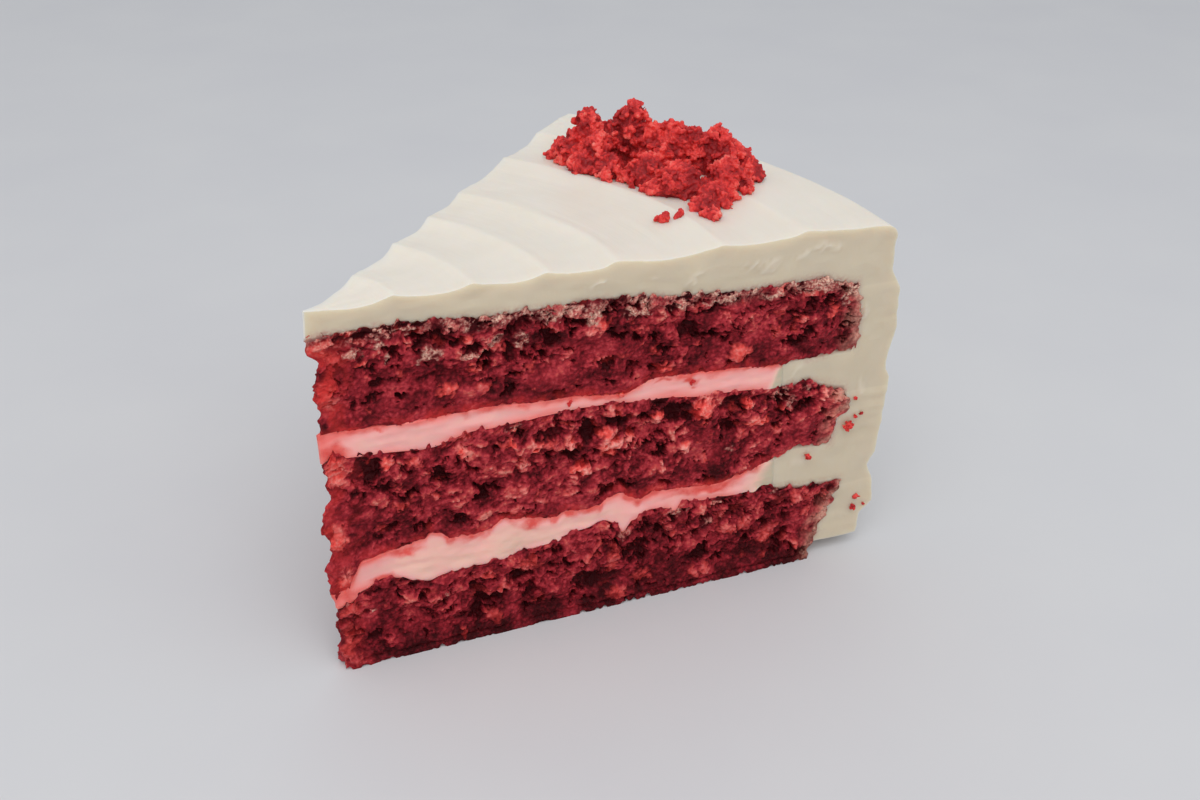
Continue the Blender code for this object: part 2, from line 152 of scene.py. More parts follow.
RAISED = {
    "sponge_top": (
        (6.8, 71.4, 1.8, 1.6), (53, 65.5, 3, 2.5), (51, 64, 2, 2), (28, 66.5, 2, 1.6), (9, 65, 2, 1.6),
        (102.5, 59.5, 3, 2.5), (82, 54, 5, 4), (2.5, 69, 4, 5), (2, 60, 3, 6), (24, 57, 4, 2),
        (95, 58.5, 3, 1.6), (90, 66, 1, 3), (66, 54, 4, 2), (29, 60.5, 3, 1.4),
    ),
    "sponge_middle": (
        (55.5, 38.5, 4.6, 5), (54, 41.5, 2.6, 3), (59.5, 39.5, 1.8, 3.4), (65, 43, 2.5, 3.5),
        (75, 42.5, 5, 5), (71, 34.5, 2.4, 2.4), (47.3, 41, 2, 3.5), (40, 41.5, 2.5, 2.5),
        (36, 43, 1.5, 1.5), (26, 44, 2, 2.5), (12, 44, 3, 3), (36.5, 46, 1.6, 1.4),
        (66.5, 30.5, 1.5, 2.5), (49.5, 34.5, 3.5, 2.5), (87, 37.5, 5, 2.5), (84.5, 42, 1.4, 3),
        (102.5, 40, 2.5, 2), (2.5, 45, 3.5, 8), (2, 30, 3.5, 6), (3, 20, 3, 4), (77, 46, 2, 1.4),
    ),
    "sponge_bottom": (
        (31.5, 4, 3, 3), (24.5, 2, 1.5, 2), (37.5, 14.5, 3, 4), (19.4, 11, 2, 2.4), (33.5, 11, 2, 2),
        (30.5, 14, 3.5, 2), (53.5, 15.3, 2, 2), (51, 13, 2, 2.5), (39.5, 15.5, 2, 4), (56.5, 11, 2, 8),
        (63, 5.2, 4, 3), (57.5, 2.8, 4.5, 3), (77, 4, 2, 3), (74.5, 3, 1.6, 2), (70.5, 13.5, 2, 2),
        (82, 12.2, 3.5, 3), (86, 13, 3.5, 3), (98, 16.5, 2, 3.5), (91.5, 8, 4, 4), (101, 12, 2, 1.5),
        (105.4, 15, 1.2, 4), (106, 10.5, 2, 1.5), (98.5, 4, 1.6, 3), (91, 3.5, 2, 2.5), (2, 6, 3.5, 9),
        (3, 13.5, 4, 3),
    ),
}
SMEARS = {
    "sponge_top": (
        (7.5, 67.3, 3, 2.5), (12.5, 68.2, 3.5, 1.2), (13, 65.3, 1.4, 1.2), (20.5, 64.5, 5, 2.2),
        (28.5, 63.3, 4, 1.5), (33, 65.3, 3, 2), (38, 64.5, 3, 3), (52, 66.8, 5, 2.4), (60, 66.5, 6, 2),
        (45, 68.3, 8, 1.6), (68, 66.2, 5, 1.6), (78, 65.4, 8, 1.4), (88, 65.2, 6, 1.4), (98, 65, 8, 1.8),
        (105, 62, 2.4, 4), (30, 69, 9, 1.2), (16, 70.2, 8, 1.1),
    ),
    "sponge_middle": (
        (92.5, 42.5, 3.5, 4), (94.8, 40, 2.4, 4), (81.5, 33, 1.8, 1.8), (98.5, 43, 2.4, 1.4),
        (36.5, 46.6, 3, 1),
    ),
    "sponge_bottom": (
        (70.5, 19.2, 4, 2), (58.6, 17.2, 2.4, 2.4), (77.5, 14.7, 2.5, 1.5), (79.5, 19.3, 2.5, 1.2),
        (2, 16.5, 3.5, 3), (93.5, 19, 2, 1.6), (7, 11.4, 1.5, 1), (22, 11.5, 1, 1),
    ),
}
# Small ones are scattered between those over each cut. On the other cut the large ones are scattered
# too, its smears in a band under the sponge's top: (how many, smallest mm, largest mm)
SMALL_PORES, SMALL_RAISED = (230, 0.6, 2.2), (90, 0.8, 2.4)
OTHER_PORES, OTHER_RAISED, OTHER_SMEARS = (25, 2.5, 6), (22, 2, 5), (12, 1.5, 4)
SMEARED_BAND = 4
# How each sponge differs: red soaked into its tip, brightness of its raised crumbs, strength of the
# painted shade of its bumps and pores, whiteness of its smears, and how light it is on the whole
TIP_WET = {"sponge_bottom": 0.35, "sponge_middle": 0.5, "sponge_top": 1}
RAISED_BRIGHT = {"sponge_bottom": 0.5, "sponge_middle": 1.2, "sponge_top": 0.9}
RELIEF_SHADE_STRENGTH = {"sponge_bottom": 0.68, "sponge_middle": 1, "sponge_top": 0.85}
SMEAR_WHITE = {"sponge_bottom": 0.6, "sponge_middle": 0.6, "sponge_top": 0.9}
MEAN_RELIEF = {"sponge_bottom": 0.42, "sponge_middle": 0.47, "sponge_top": 0.45}
# The ragged rim of a cut, the depth of its finest grain, the browned crust at the end of a sponge,
# the dust of frosting below the coat and beside the wall, and the red soaked up from a filling,
# which fades out towards the end
RAGGED_BAND = 1.5
GRAIN_DEPTH = 0.28
CRUST_WIDTH = 5
DUST_DEPTH, DUST_WIDTH = 2.5, 2
SOAK_HEIGHT = 2.2
SOAK_END, SOAK_FADE = 98, 12
# The share of the radius from which a sponge is bent to its outer edge
BENT_FROM = 0.86


def along(outline, place):
    """The value of an outline of (place, value) points at each place, eased from point to point."""
    places, values = np.array(outline, float).T
    index = np.clip(np.searchsorted(places, place, side="right") - 1, 0, len(places) - 2)
    share = np.clip((place - places[index]) / (places[index + 1] - places[index]), 0, 1)
    return values[index] + (values[index + 1] - values[index]) * share * share * (3 - 2 * share)


def uneven(points, size, shift=(0, 0, 0)):
    """Smooth noise at each point, mostly from -0.5 to 0.5, with swells of one size."""
    return np.array([noise.noise(point) for point in (points / size + np.array(shift)).tolist()])


def crumbled(points, size, shift=(0, 0, 0)):
    """Rounded lumps of one size with sharp creases between them: -1 in a crease, about 1 on a lump."""
    return 4 * np.abs(uneven(points, size, shift)) - 1


def on_circle(radius, angle, height=0.0):
    """Points from radii and angles round the cake's axis."""
    return np.column_stack([radius * np.cos(angle), radius * np.sin(angle), height + 0 * radius])


def wander(radius, angle, layer):
    """A slow unevenness of a layer, nil at the cut towards -Y."""
    shift = (0, 0, 3.7 * layer + 0.5)
    at_cut = uneven(on_circle(radius, -HALF_ANGLE + 0 * radius), WANDER_LENGTH, shift)
    return uneven(on_circle(radius, angle), WANDER_LENGTH, shift) - at_cut


def level(number, radius, angle):
    """Height of one of the levels between the layers, counted from the base."""
    height = along(LEVELS[number], radius)
    return height + LEVEL_WANDER * wander(radius, angle, number) if number else height


def spun_block(name, columns, rows, turns, missing=None):
    """A closed block of section cells spun round the axis, with each point's column, row and turn."""
    bm = bmesh.new()
    bmesh.ops.create_grid(bm, x_segments=columns, y_segments=rows, size=0.5)
    if missing:
        spare = []
        for face in bm.faces:
            middle = face.calc_center_median()
            if missing(math.floor((middle.x + 0.5) * columns), math.floor((middle.y + 0.5) * rows)):
                spare.append(face)
        bmesh.ops.delete(bm, geom=spare, context="FACES")
    for vert in bm.verts:
        vert.co = (1 + (vert.co.x + 0.5) * columns, 0, (vert.co.y + 0.5) * rows)
    section = bm.verts[:] + bm.edges[:] + bm.faces[:]
    bmesh.ops.spin(bm, geom=section, cent=(0, 0, 0), axis=(0, 0, 1), angle=1, steps=turns)
    bmesh.ops.recalc_face_normals(bm, faces=bm.faces)
    mesh = bpy.data.meshes.new(name)
    bm.to_mesh(mesh)
    bm.free()
    places = np.empty(3 * len(mesh.vertices), np.float32)
    mesh.vertices.foreach_get("co", places)
    x, y, row = places.reshape(-1, 3).astype(float).T
    return mesh, np.round(np.hypot(x, y) - 1), np.round(row), np.round(np.arctan2(y, x) * turns)


def turned(turn, turns):
    """Angles of the turns of a block, closer together near the two cuts."""
    share = 2 * turn / turns - 1
    return HALF_ANGLE * np.sign(share) * (1 - (1 - np.abs(share)) ** TURN_CROWDING)


def bent_to_edge(radius, height):
    """Radii of a sponge or of what lies against it, bent to follow the uneven end of the sponges."""
    outer = np.clip((radius / SPONGE_RADIUS - BENT_FROM) / (1 - BENT_FROM), 0, None)
    return radius + (along(SPONGE_EDGE, height) - SPONGE_RADIUS) * outer


def knife_cut(points):
    """How far smooth food stands out of a cut made by one pull of the knife."""
    return 0.5 * uneven(points, 7, (5, 5, 5)) + 0.18 * uneven(points * (0.4, 0.4, 1), 1.5) - 0.3


def spots(radius, height, places, warp, sharpness):
    """How deep each point lies in the nearest of a list of uneven ovals: 0 outside, 1 in the middle."""
    across, up = radius + warp[0], height + warp[1]
    share = np.zeros_like(radius)
    for middle, rise, length, tall in places:
        inside = 1 - ((across - middle) / (0.55 * length)) ** 2 - ((up - rise) / (0.55 * tall)) ** 2
        share = np.maximum(share, np.clip(inside, 0, 1))
    return share ** sharpness


def scattered(draw, low, high, count, small, large):
    """Random ovals between two heights of a sponge, more of them in its upper half."""
    places = []
    for _ in range(count):
        size = small + (large - small) * draw.random() ** 3
        rise = max(draw.random(), draw.random())
        places.append((
            draw.uniform(2, SPONGE_RADIUS), low + (high - low) * rise,
            size * draw.uniform(0.9, 1.8), size * draw.uniform(0.6, 1.1),
        ))
    return places


def torn_cut(name, radius, height, side, draw):
    """How far each point of a torn cut stands out, and its masks: painted shade of its bumps and pores,
    raised crumb and smear.
    """
    low, high = height.min(), height.max()
    plane = np.column_stack([radius, np.full_like(radius, 0.5 * side), 1.25 * height])
    warp = [
        1.3 * uneven(plane, 1.9, shift) + 0.9 * uneven(plane, 0.7, shift) for shift in ((3, 0, 0), (0, 0, 5))
    ]
    bent = plane + np.column_stack([warp[0], 0 * radius, warp[1]])
    clumps, lumps, grains = (crumbled(bent, size, (size, 3, 1)) for size in (3.4, 1.7, 0.9))
    pores, raised, smears = PORES[name], RAISED[name], SMEARS[name]
    if side > 0:
        pores = scattered(draw, low, high, *OTHER_PORES)
        raised = scattered(draw, low, high, *OTHER_RAISED)
        smears = scattered(draw, high - SMEARED_BAND, high, *OTHER_SMEARS)
    small_pores = scattered(draw, low, high, *SMALL_PORES)
    small_raised = spots(radius, height, scattered(draw, low, high, *SMALL_RAISED), warp, 0.7)
    pore = spots(radius, height, small_pores + list(pores), warp, 0.5)
    lump = np.maximum(spots(radius, height, raised, warp, 0.6), 0.5 * small_raised)
    smear = SMEAR_WHITE[name] * spots(radius, height, smears, warp, 0.5)
    rough = np.clip(0.3 + (height - low) / (high - low) + 0.9 * uneven(plane, 9, (4, 4, 4)), 0.25, 1)
    bumps = rough * (0.42 * clumps + 0.28 * lumps + 0.1 * grains) + 0.1 * uneven(plane, 0.6, (2, 2, 2))
    near_floor = np.clip(1 - height / 3, 0, 1)
    depth = SWELL_DEPTH * uneven(plane, 6) + GRANULE_DEPTH * bumps + RAISED_DEPTH * lump
    depth = (depth + SMEAR_DEPTH * smear) * (1 - 0.8 * near_floor)
    depth += FOOT_FLARE * np.clip(1 - height / FOOT_HEIGHT, 0, 1) - PORE_DEPTH * pore * (1 - 0.6 * lump)
    # Painted shade: darker in the pores and creases, lighter on the granules and whole crumbs that stand out.
    # It is also lighter towards the top of each sponge, and darker in the lowest 10 mm.
    relief = RELIEF_SHADE_STRENGTH[name] * (0.5 * bumps - 0.7 * pore) + 0.12 * lump
    relief += MEAN_RELIEF[name] + 0.1 * (height - low) / (high - low) - 0.2 * np.clip(1.3 - height / 8, 0, 1)
    return depth, np.clip(relief, 0, 1), lump, smear


def place_points(mesh, points):
    """Move a mesh's points to places given in mm."""
    mesh.vertices.foreach_set("co", (points * MM).astype(np.float32).ravel())
    mesh.update()


def set_points(mesh, radius, angle, height, depth, reach=0.0):
    """Place a block's points; depth is how far each stands out of its cut, reach how far at the tip."""
    at_tip = np.clip(1 - radius / TIP_LENGTH, 0, 1)
    behind = radius * np.sin(HALF_ANGLE - np.abs(angle))
    depth = np.maximum(depth, -DEEPEST_SHARE * radius) * np.clip(1 - behind / RELIEF_REACH, 0, 1)
    tip = (TIP_RADIUS + along(TIP_REACH, height) + reach) * at_tip
    x = AXIS_X + radius * np.cos(angle) - tip - depth * math.sin(HALF_ANGLE)
    y = radius * np.sin(angle) + np.clip(2 * angle / HALF_ANGLE, -1, 1) * depth * math.cos(HALF_ANGLE)
    x = np.clip(x, cad_box[0].x / MM + BOX_MARGIN, cad_box[1].x / MM - BOX_MARGIN)
    y = np.clip(y, cad_box[0].y / MM + BOX_MARGIN, cad_box[1].y / MM - BOX_MARGIN)
    place_points(mesh, np.column_stack([x, y, height]))


def paint(mesh, **masks):
    """Keep masks from 0 to 1 with a mesh, for its material."""
    for name, values in masks.items():
        mask = mesh.attributes.new(name, "FLOAT", "POINT")
        mask.data.foreach_set("value", np.asarray(values, np.float32))


def linear(colour):
    """A colour from sRGB hex as linear RGBA."""
    parts = [int(colour[start:start + 2], 16) / 255 for start in (1, 3, 5)]
    return (*[part / 12.92 if part <= 0.04045 else ((part + 0.055) / 1.055) ** 2.4 for part in parts], 1)


def node(tree, kind, inputs, stops=(), **settings):
    """Add a node with its settings; each input is a value, an output, or a node for its first output."""
    made = tree.nodes.new(kind)
    for name, value in settings.items():
        setattr(made, name, value)
    for name, value in inputs.items():
        if isinstance(value, bpy.types.Node):
            value = value.outputs[0]
        if isinstance(value, bpy.types.NodeSocket):
            tree.links.new(value, made.inputs[name])
        else:
            made.inputs[name].default_value = value
    if stops:
        elements = made.color_ramp.elements
        for place, _ in stops[1:-1]:
            elements.new(place)
        for stop, (place, colour) in zip(elements, stops):
            stop.position, stop.color = place, linear(colour)
    return made


def food(name, roughness, softness, soak):
    """A new Principled material for food; light soaks into it over soak mm."""
    material = bpy.data.materials.new(name)
    material.use_nodes = True
    shader = material.node_tree.nodes["Principled BSDF"]
    shader.inputs["Roughness"].default_value = roughness
    shader.inputs["IOR"].default_value = 1.42
    shader.inputs["Subsurface Weight"].default_value = softness
    shader.inputs["Subsurface Scale"].default_value = soak * MM
    return material, material.node_tree, shader


def per_size(size):
    """The scale of a noise texture whose swells measure size mm."""
    return 1 / (size * MM)


def granules(tree, here, size):
    """Uneven rounded granules of one size: 1 in the middle of each, falling to its crack."""
    swirl = node(tree, "ShaderNodeTexNoise", {"Vector": here, "Scale": per_size(1.5 * size), "Detail": 2})
    bent = node(tree, "ShaderNodeVectorMath", {
        0: swirl.outputs["Color"], 1: (0.9 * size * MM,) * 3, 2: here}, operation="MULTIPLY_ADD")
    cells = node(tree, "ShaderNodeTexVoronoi", {"Vector": bent, "Scale": per_size(size)})
    return node(tree, "ShaderNodeMath", {0: 1, 1: cells}, operation="SUBTRACT")


# Open baked crumb, torn not sliced. Its colour holds painted shade, near black in its pores and darker in the
# creases and in the cracks between granules, and a painted greyish pink reflection on the finest granules
# where the moist crumb mirrors the light. It is coral where whole crumbs stand up, with a painted highlight
# on their proud granules. It is browned at its ends, red where the fillings wet it, and dusted pale where
# frosting was dragged over it.
torn_crumb, tree, shader = food("velvet_sponge_torn_crumb", 0.55, 0.15, 1.2)
shader.inputs["Specular IOR Level"].default_value = 0.12
shader.inputs["Subsurface Radius"].default_value = (1, 0.18, 0.12)
here = node(tree, "ShaderNodeTexCoord", {}).outputs["Object"]
relief, raised, smear, crust, wet = (
    node(tree, "ShaderNodeAttribute", {}, attribute_name=name).outputs["Fac"]
    for name in ("relief", "raised", "smear", "crust", "wet")
)
patches, blotches, specks, grit = (
    node(tree, "ShaderNodeTexNoise", {"Vector": here, "Scale": per_size(size), "Detail": 3})
    for size in (6, 1.3, 0.8, 0.4)
)
cells = granules(tree, here, 0.8)
# Shade for the crumb's colour: painted shade of its bumps and pores, random tone at three sizes, and painted
# shade in the cracks between granules.
shade = relief
for source, weight in ((patches, 1.3), (blotches, 0.5), (specks, 0.35), (cells, 0.33)):
    shade = node(tree, "ShaderNodeMath", {0: source, 1: weight, 2: shade}, operation="MULTIPLY_ADD")
shade = node(tree, "ShaderNodeMath", {0: shade, 1: 1.27}, operation="SUBTRACT")
# The palest stops are a painted greyish pink reflection on the moist crumb.
crumb = node(tree, "ShaderNodeValToRGB", {"Fac": shade}, stops=(
    (0, "#380509"), (0.22, "#5f1018"), (0.45, "#91212b"), (0.65, "#b93a42"), (0.82, "#cc524d"),
    (1, "#e07f74")))
# Raised crumbs are coral, lightest where the shade is high: a painted highlight on their proud granules.
bright = node(tree, "ShaderNodeValToRGB", {"Fac": shade}, stops=(
    (0.12, "#b42a2a"), (0.42, "#f95a52"), (0.9, "#ffa094")))
baked = node(tree, "ShaderNodeValToRGB", {"Fac": shade}, stops=((0.15, "#5c2420"), (0.75, "#cc9480")))
frosted = node(tree, "ShaderNodeValToRGB", {"Fac": grit}, stops=((0.35, "#a5544c"), (0.65, "#f9d2ba")))
soaked = node(tree, "ShaderNodeMath", {0: wet, 1: blotches}, operation="MULTIPLY")
soaked = node(tree, "ShaderNodeMath", {0: soaked, 1: 1.9}, operation="MULTIPLY", use_clamp=True)
proud = node(tree, "ShaderNodeMath", {0: smear, 1: 0.45, 2: -0.75}, operation="MULTIPLY_ADD")
proud = node(tree, "ShaderNodeMath", {0: shade, 1: 3, 2: proud}, operation="MULTIPLY_ADD", use_clamp=True)
dusted = node(tree, "ShaderNodeMath", {0: blotches, 1: 5, 2: -1.4}, operation="MULTIPLY_ADD", use_clamp=True)
for mask in (smear, proud):
    dusted = node(tree, "ShaderNodeMath", {0: dusted, 1: mask}, operation="MULTIPLY")
surface = crumb
for mask, colour in ((raised, bright), (soaked, linear("#cb3331")), (crust, baked), (dusted, frosted)):
    surface = node(tree, "ShaderNodeMixRGB", {"Fac": mask, "Color1": surface, "Color2": colour})
tree.links.new(surface.outputs[0], shader.inputs["Base Color"])
grain = node(tree, "ShaderNodeMath", {0: cells, 1: 1.6, 2: grit}, operation="MULTIPLY_ADD")
bump = node(tree, "ShaderNodeBump", {"Height": grain, "Strength": 0.6, "Distance": 0.35 * MM})
tree.links.new(bump.outputs[0], shader.inputs["Normal"])


def finish_piece(mesh, material, slot, *replaced):
    """Put a mesh in the scene as a piece of the slice that stands for CAD nodes."""
    mesh.materials.append(material)
    mesh.shade_smooth()
    piece = bpy.data.objects.new(mesh.name, mesh)
    bpy.context.scene.collection.objects.link(piece)
    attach(piece, "root")
    if replaced:
        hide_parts(*replaced)


for number, name in enumerate(("sponge_bottom", "sponge_middle", "sponge_top")):
    draw = random.Random(100 + number)
    base, top = 2 * number, 2 * number + 1
    columns, rows = round((SPONGE_RADIUS - TIP_RADIUS) / CRUMB_STEP), round(SPONGE_THICKNESS / CRUMB_STEP)
    mesh, column, row, turn = spun_block(f"{name}_crumb", columns, rows, SPONGE_TURNS)
    radius = TIP_RADIUS + (SPONGE_RADIUS - TIP_RADIUS) * column / columns
    angle = turned(turn, SPONGE_TURNS)
    low, high = level(base, radius, angle), level(top, radius, angle)
    height = low + (high - low) * row / rows
    points = on_circle(radius, angle, height)
    crumbly = np.where(2 * row > rows, 1.2, 0.7)
    ragged = 1.1 * uneven(points, 1.9) + crumbly * uneven(points, 0.9, (4, 4, 4))
    to_level = np.minimum(height - low, high - height)
    to_end = np.minimum(radius - TIP_RADIUS, SPONGE_RADIUS - radius)
    height = np.maximum(height + ragged * np.clip(1 - to_level / RAGGED_BAND, 0, 1), 0)
    radius = radius + GRAIN_DEPTH * uneven(points, 0.9, (9, 0, 2)) * np.clip(radius - 1, 0, 1)
    height = np.maximum(height + GRAIN_DEPTH * uneven(points, 0.9, (0, 9, 5)) * np.clip(to_level, 0, 1), 0)
    radius = bent_to_edge(radius, height)
    at_end = np.clip(1 - to_end / RAGGED_BAND, 0, 1) * (radius > 2)
    radius = np.maximum(radius + (0.7 * ragged + 0.3) * at_end, 0.3)
    depth, relief = np.zeros_like(radius), np.full_like(radius, 0.5)
    raised, smear = np.zeros_like(radius), np.zeros_like(radius)
    cell = (column * (rows + 1) + row).astype(int)
    for side in (-1, 1):
        cut = np.flatnonzero(turn == (0 if side < 0 else SPONGE_TURNS))
        facing = np.zeros((columns + 1) * (rows + 1))
        facing[cell[cut]], relief[cut], raised[cut], smear[cut] = torn_cut(
            name, radius[cut], height[cut], side, draw)
        depth = np.where(side * angle > 0, facing[cell], depth)
    flush = np.clip(1.25 - np.minimum(to_level, to_end) / FLUSH_BAND, 0, 1) * (radius > 4) * (height > 1)
    depth = depth + (knife_cut(points) + 0.15 + 0.25 * ragged - depth) * flush
    patchy = 0.6 + 1.1 * uneven(points, 2.4, (5, 5, 5))
    to_edge = along(SPONGE_EDGE, height) - radius
    crust = np.clip(np.clip(1 - to_edge / CRUST_WIDTH, 0, 1) * patchy, 0, 0.7)
    relief = relief + 0.25 * crust
    dust = np.clip(1.2 - (high - height) / DUST_DEPTH, 0, 1) * (name == "sponge_top")
    dust += 0.5 * np.clip(1 - to_edge / DUST_WIDTH, 0, 1)
    smear = np.maximum(smear, dust * (0.1 + 0.75 * patchy))
    wet = np.clip(1 - (height - low) / SOAK_HEIGHT, 0, 1) * (name != "sponge_bottom")
    wet += TIP_WET[name] * np.clip(1.3 - radius / 6, 0, 1)
    wet = np.clip(wet, 0, 1) * np.clip(0.5 + 1.2 * uneven(points, 2.5, (6, 1, 6)), 0, 0.8)
    wet *= np.clip((SOAK_END - radius) / SOAK_FADE, 0, 1)
    raised = np.clip(RAISED_BRIGHT[name] * raised, 0, 1)
    paint(mesh, relief=relief, raised=raised, smear=np.clip(smear, 0, 1), crust=crust, wet=wet)
    notches = -2.4 * np.abs(uneven(points, 2.6, (1, 7, 1))) + 0.3 * uneven(points, 0.9, (3, 3, 7))
    set_points(mesh, radius, angle, height, depth, notches)
    finish_piece(mesh, torn_crumb, "sponge", name)


# ---- The two fillings ----------------------------------------------------------------
# Cream cheese frosting spread between the sponges. It has drawn red out of the crumb, so it is
# pink, deepest next to the sponges, and the knife has smoothed it along the cut.
FILLING_STEP = 0.45
FILLING_ROWS = 24
FILLING_TURNS = 12
FILLING_REACH = 0.5
FILLING_END = 92.4
TONGUE_RADIUS = 91.5
ARC_RADIUS = 60
KNIFE_EDGE = math.radians(40)
# How deep the pink is drawn in from each sponge, and between which radii the lower filling is paler
DRAWN_DEPTH = 2.6
PALE_FROM, PALE_TO = 9, 62
# How far down the red of the sponge above has seeped, and how far before the tongue the pink fades
SEEPED = {"filling_lower": 1.8, "filling_upper": 1.3}
FADES = {"filling_lower": 7, "filling_upper": 1.5}
# Red stains on the cut towards -Y: (mm from the axis, mm up, mm long, mm high)
STAINS = {
    "filling_upper": (
        (47.5, 50.2, 3, 1.6), (57.5, 49.3, 3, 2), (72, 49.4, 4.5, 2), (36.5, 51, 1, 1), (10.5, 51, 1, 1),
        (72.5, 48, 1.4, 1), (3, 48.5, 5, 5), (66, 50.6, 4, 1.2), (84, 50, 4, 1.2),
    ),
    "filling_lower": (
        (14, 24, 10, 3), (27, 24.4, 9, 3.4), (40, 24, 8, 3), (47.5, 25, 4, 3), (52, 24.6, 5, 3),
        (61.5, 23.8, 3, 3), (75, 23.5, 16, 2.4), (10, 18.6, 6, 2.4), (3, 17, 4, 4), (80, 23, 10, 2),
    ),
}

# Stained soft frosting, cut by a clean knife: satin, with faint drag lines along the cut.
stained_frosting, tree, shader = food("cream_cheese_filling_stained", 0.42, 0.3, 2.5)
section = node(tree, "ShaderNodeAttribute", {}, attribute_name="section").outputs["Vector"]
pink, stain = (
    node(tree, "ShaderNodeAttribute", {}, attribute_name=name).outputs["Fac"] for name in ("pink", "stain")
)
stretch = node(tree, "ShaderNodeMapping", {"Vector": section, "Scale": (0.25, 1, 1)})
drag = node(tree, "ShaderNodeTexNoise", {"Vector": stretch, "Scale": per_size(1.2), "Detail": 3})
cloud = node(tree, "ShaderNodeTexNoise", {
    "Vector": section, "Scale": per_size(3), "Detail": 6, "Roughness": 0.75})
tint = node(tree, "ShaderNodeMath", {0: drag, 1: 0.24, 2: pink}, operation="MULTIPLY_ADD")
tint = node(tree, "ShaderNodeMath", {0: tint, 1: 0.12}, operation="SUBTRACT")
# Its palest cream, where the pink fades out by the tongue, matches the coat's cut colour, painted darker as
# shade.
cream = node(tree, "ShaderNodeValToRGB", {"Fac": tint}, stops=(
    (0, "#c9b99f"), (0.25, "#f8c5b3"), (0.6, "#ffb4ad"), (1, "#ff7f77")))
red = node(tree, "ShaderNodeMath", {0: cloud, 1: 2.4, 2: -1.2}, operation="MULTIPLY_ADD")
red = node(tree, "ShaderNodeMath", {0: red, 1: stain}, operation="ADD")
red = node(tree, "ShaderNodeMath", {0: red, 1: stain}, operation="MULTIPLY", use_clamp=True)
surface = node(tree, "ShaderNodeMixRGB", {"Fac": red, "Color1": cream, "Color2": linear("#e8564d")})
tree.links.new(surface.outputs[0], shader.inputs["Base Color"])
bump = node(tree, "ShaderNodeBump", {"Height": drag, "Strength": 0.2, "Distance": 0.3 * MM})
tree.links.new(bump.outputs[0], shader.inputs["Normal"])


def keep_section(mesh, radius, angle, height):
    """Keep each point's place in the layers with a mesh: out from the axis, up, and along an arc."""
    places = np.column_stack([radius, height, ARC_RADIUS * angle]) * MM
    mesh.attributes.new("section", "FLOAT_VECTOR", "POINT").data.foreach_set(
        "vector", places.astype(np.float32).ravel())


for number, name in enumerate(("filling_lower", "filling_upper")):
    base, top = 2 * number + 1, 2 * number + 2
    columns = round(FILLING_END / FILLING_STEP)
    mesh, column, row, turn = spun_block(f"{name}_frosting", columns, FILLING_ROWS, FILLING_TURNS)
    radius = TIP_RADIUS + (FILLING_END - TIP_RADIUS) * column / columns
    angle = turned(turn, FILLING_TURNS)
    low, high = level(base, radius, angle), level(top, radius, angle)
    height = low - FILLING_REACH + (high - low + 2 * FILLING_REACH) * row / FILLING_ROWS
    points = on_circle(radius, angle, height)
    drag = uneven(points * (0.3, 0.3, 1), 1.3, (1, number, 3)) + uneven(points, 1.5, (2, number, 2))
    depth = knife_cut(points) + 0.06 + (0.1 + 0.12 * drag) * np.clip((TONGUE_RADIUS - radius) / 6, 0, 1)
    depth -= 0.5 * np.clip((radius - TONGUE_RADIUS - 0.45) / 0.4, 0, 1)
    to_sponge = np.minimum(height - low, high - height)
    depth -= 0.8 * np.clip(-to_sponge / FILLING_REACH, 0, 1)
    margin = np.clip(1 - to_sponge / DRAWN_DEPTH, 0, 1)
    pink = 0.58 + 0.4 * margin ** 2 + 0.2 * uneven(points, 6, (8, 2, number))
    pink += 0.4 * np.clip(1 - radius / 8, 0, 1)
    if name == "filling_lower":
        pink -= 0.36 * np.clip((radius - PALE_FROM) / 8, 0, 1) * np.clip((PALE_TO - radius) / 20, 0, 1)
        pink += 0.3 * np.clip((height - low) / (high - low) - 0.3, 0, 1)
    pink *= np.clip((TONGUE_RADIUS - 1.6 + 0.4 * (height - low) - radius) / FADES[name], 0, 1)
    warp = 1.4 * uneven(points, 2.6, (3, 0, 0)), 1.2 * uneven(points, 2.2, (0, 0, 5))
    stain = spots(radius, height, STAINS[name], warp, 0.7)
    edge = np.clip(1 - (high - height) / SEEPED[name] + 1.1 * uneven(points, 2, (1, 1, 7)), 0, 1)
    stain = np.clip(np.maximum(stain, 0.85 * edge), 0, 1)
    paint(mesh, pink=np.clip(pink, 0, 1), stain=stain)
    keep_section(mesh, radius, angle, height)
    set_points(mesh, radius, angle, height, depth)
    finish_piece(mesh, stained_frosting, "filling", name)
    mesh.set_sharp_from_angle(angle=KNIFE_EDGE)


# ---- The coat ------------------------------------------------------------------------
# Cream cheese frosting over the top and round the back, in one piece with the tongues that it
# sends in between the sponges. A spatula left ridges round the axis on top and bands on the wall.
COAT_STEP = 0.75
COAT_TURNS = 56
# Rows of the section from the hem up, for the five layers and the top
BAND_ROWS = (24, 8, 28, 6, 26, 14)
WALL_COLUMNS = 14
WALL_RADIUS = 117.7
TONGUE_OVERLAP = 3
HEM_HEIGHT = 3
RIM_ROUND = 2.2
LAP = 0.8
RIDGE_RADII = (0, 15, 29, 42.5, 56, 77, 94.5)
TROUGH_SHARE = 0.64
TROUGH_HEIGHT = 75.9
RIDGE_HEIGHT = 77.0
RIM_HEIGHT = 75.2
WALL_WANDER = 0.6
COAT_WALL = (
    (3, 114.4), (7.5, 114.6), (11, 117.4), (16, 117.0), (20, 115.3), (24, 116.7), (35, 117.1), (41, 117.5),
    (44.5, 116.2), (53, 117.7), (61, 117.3), (67, 114.9), (75, 115.0),
)
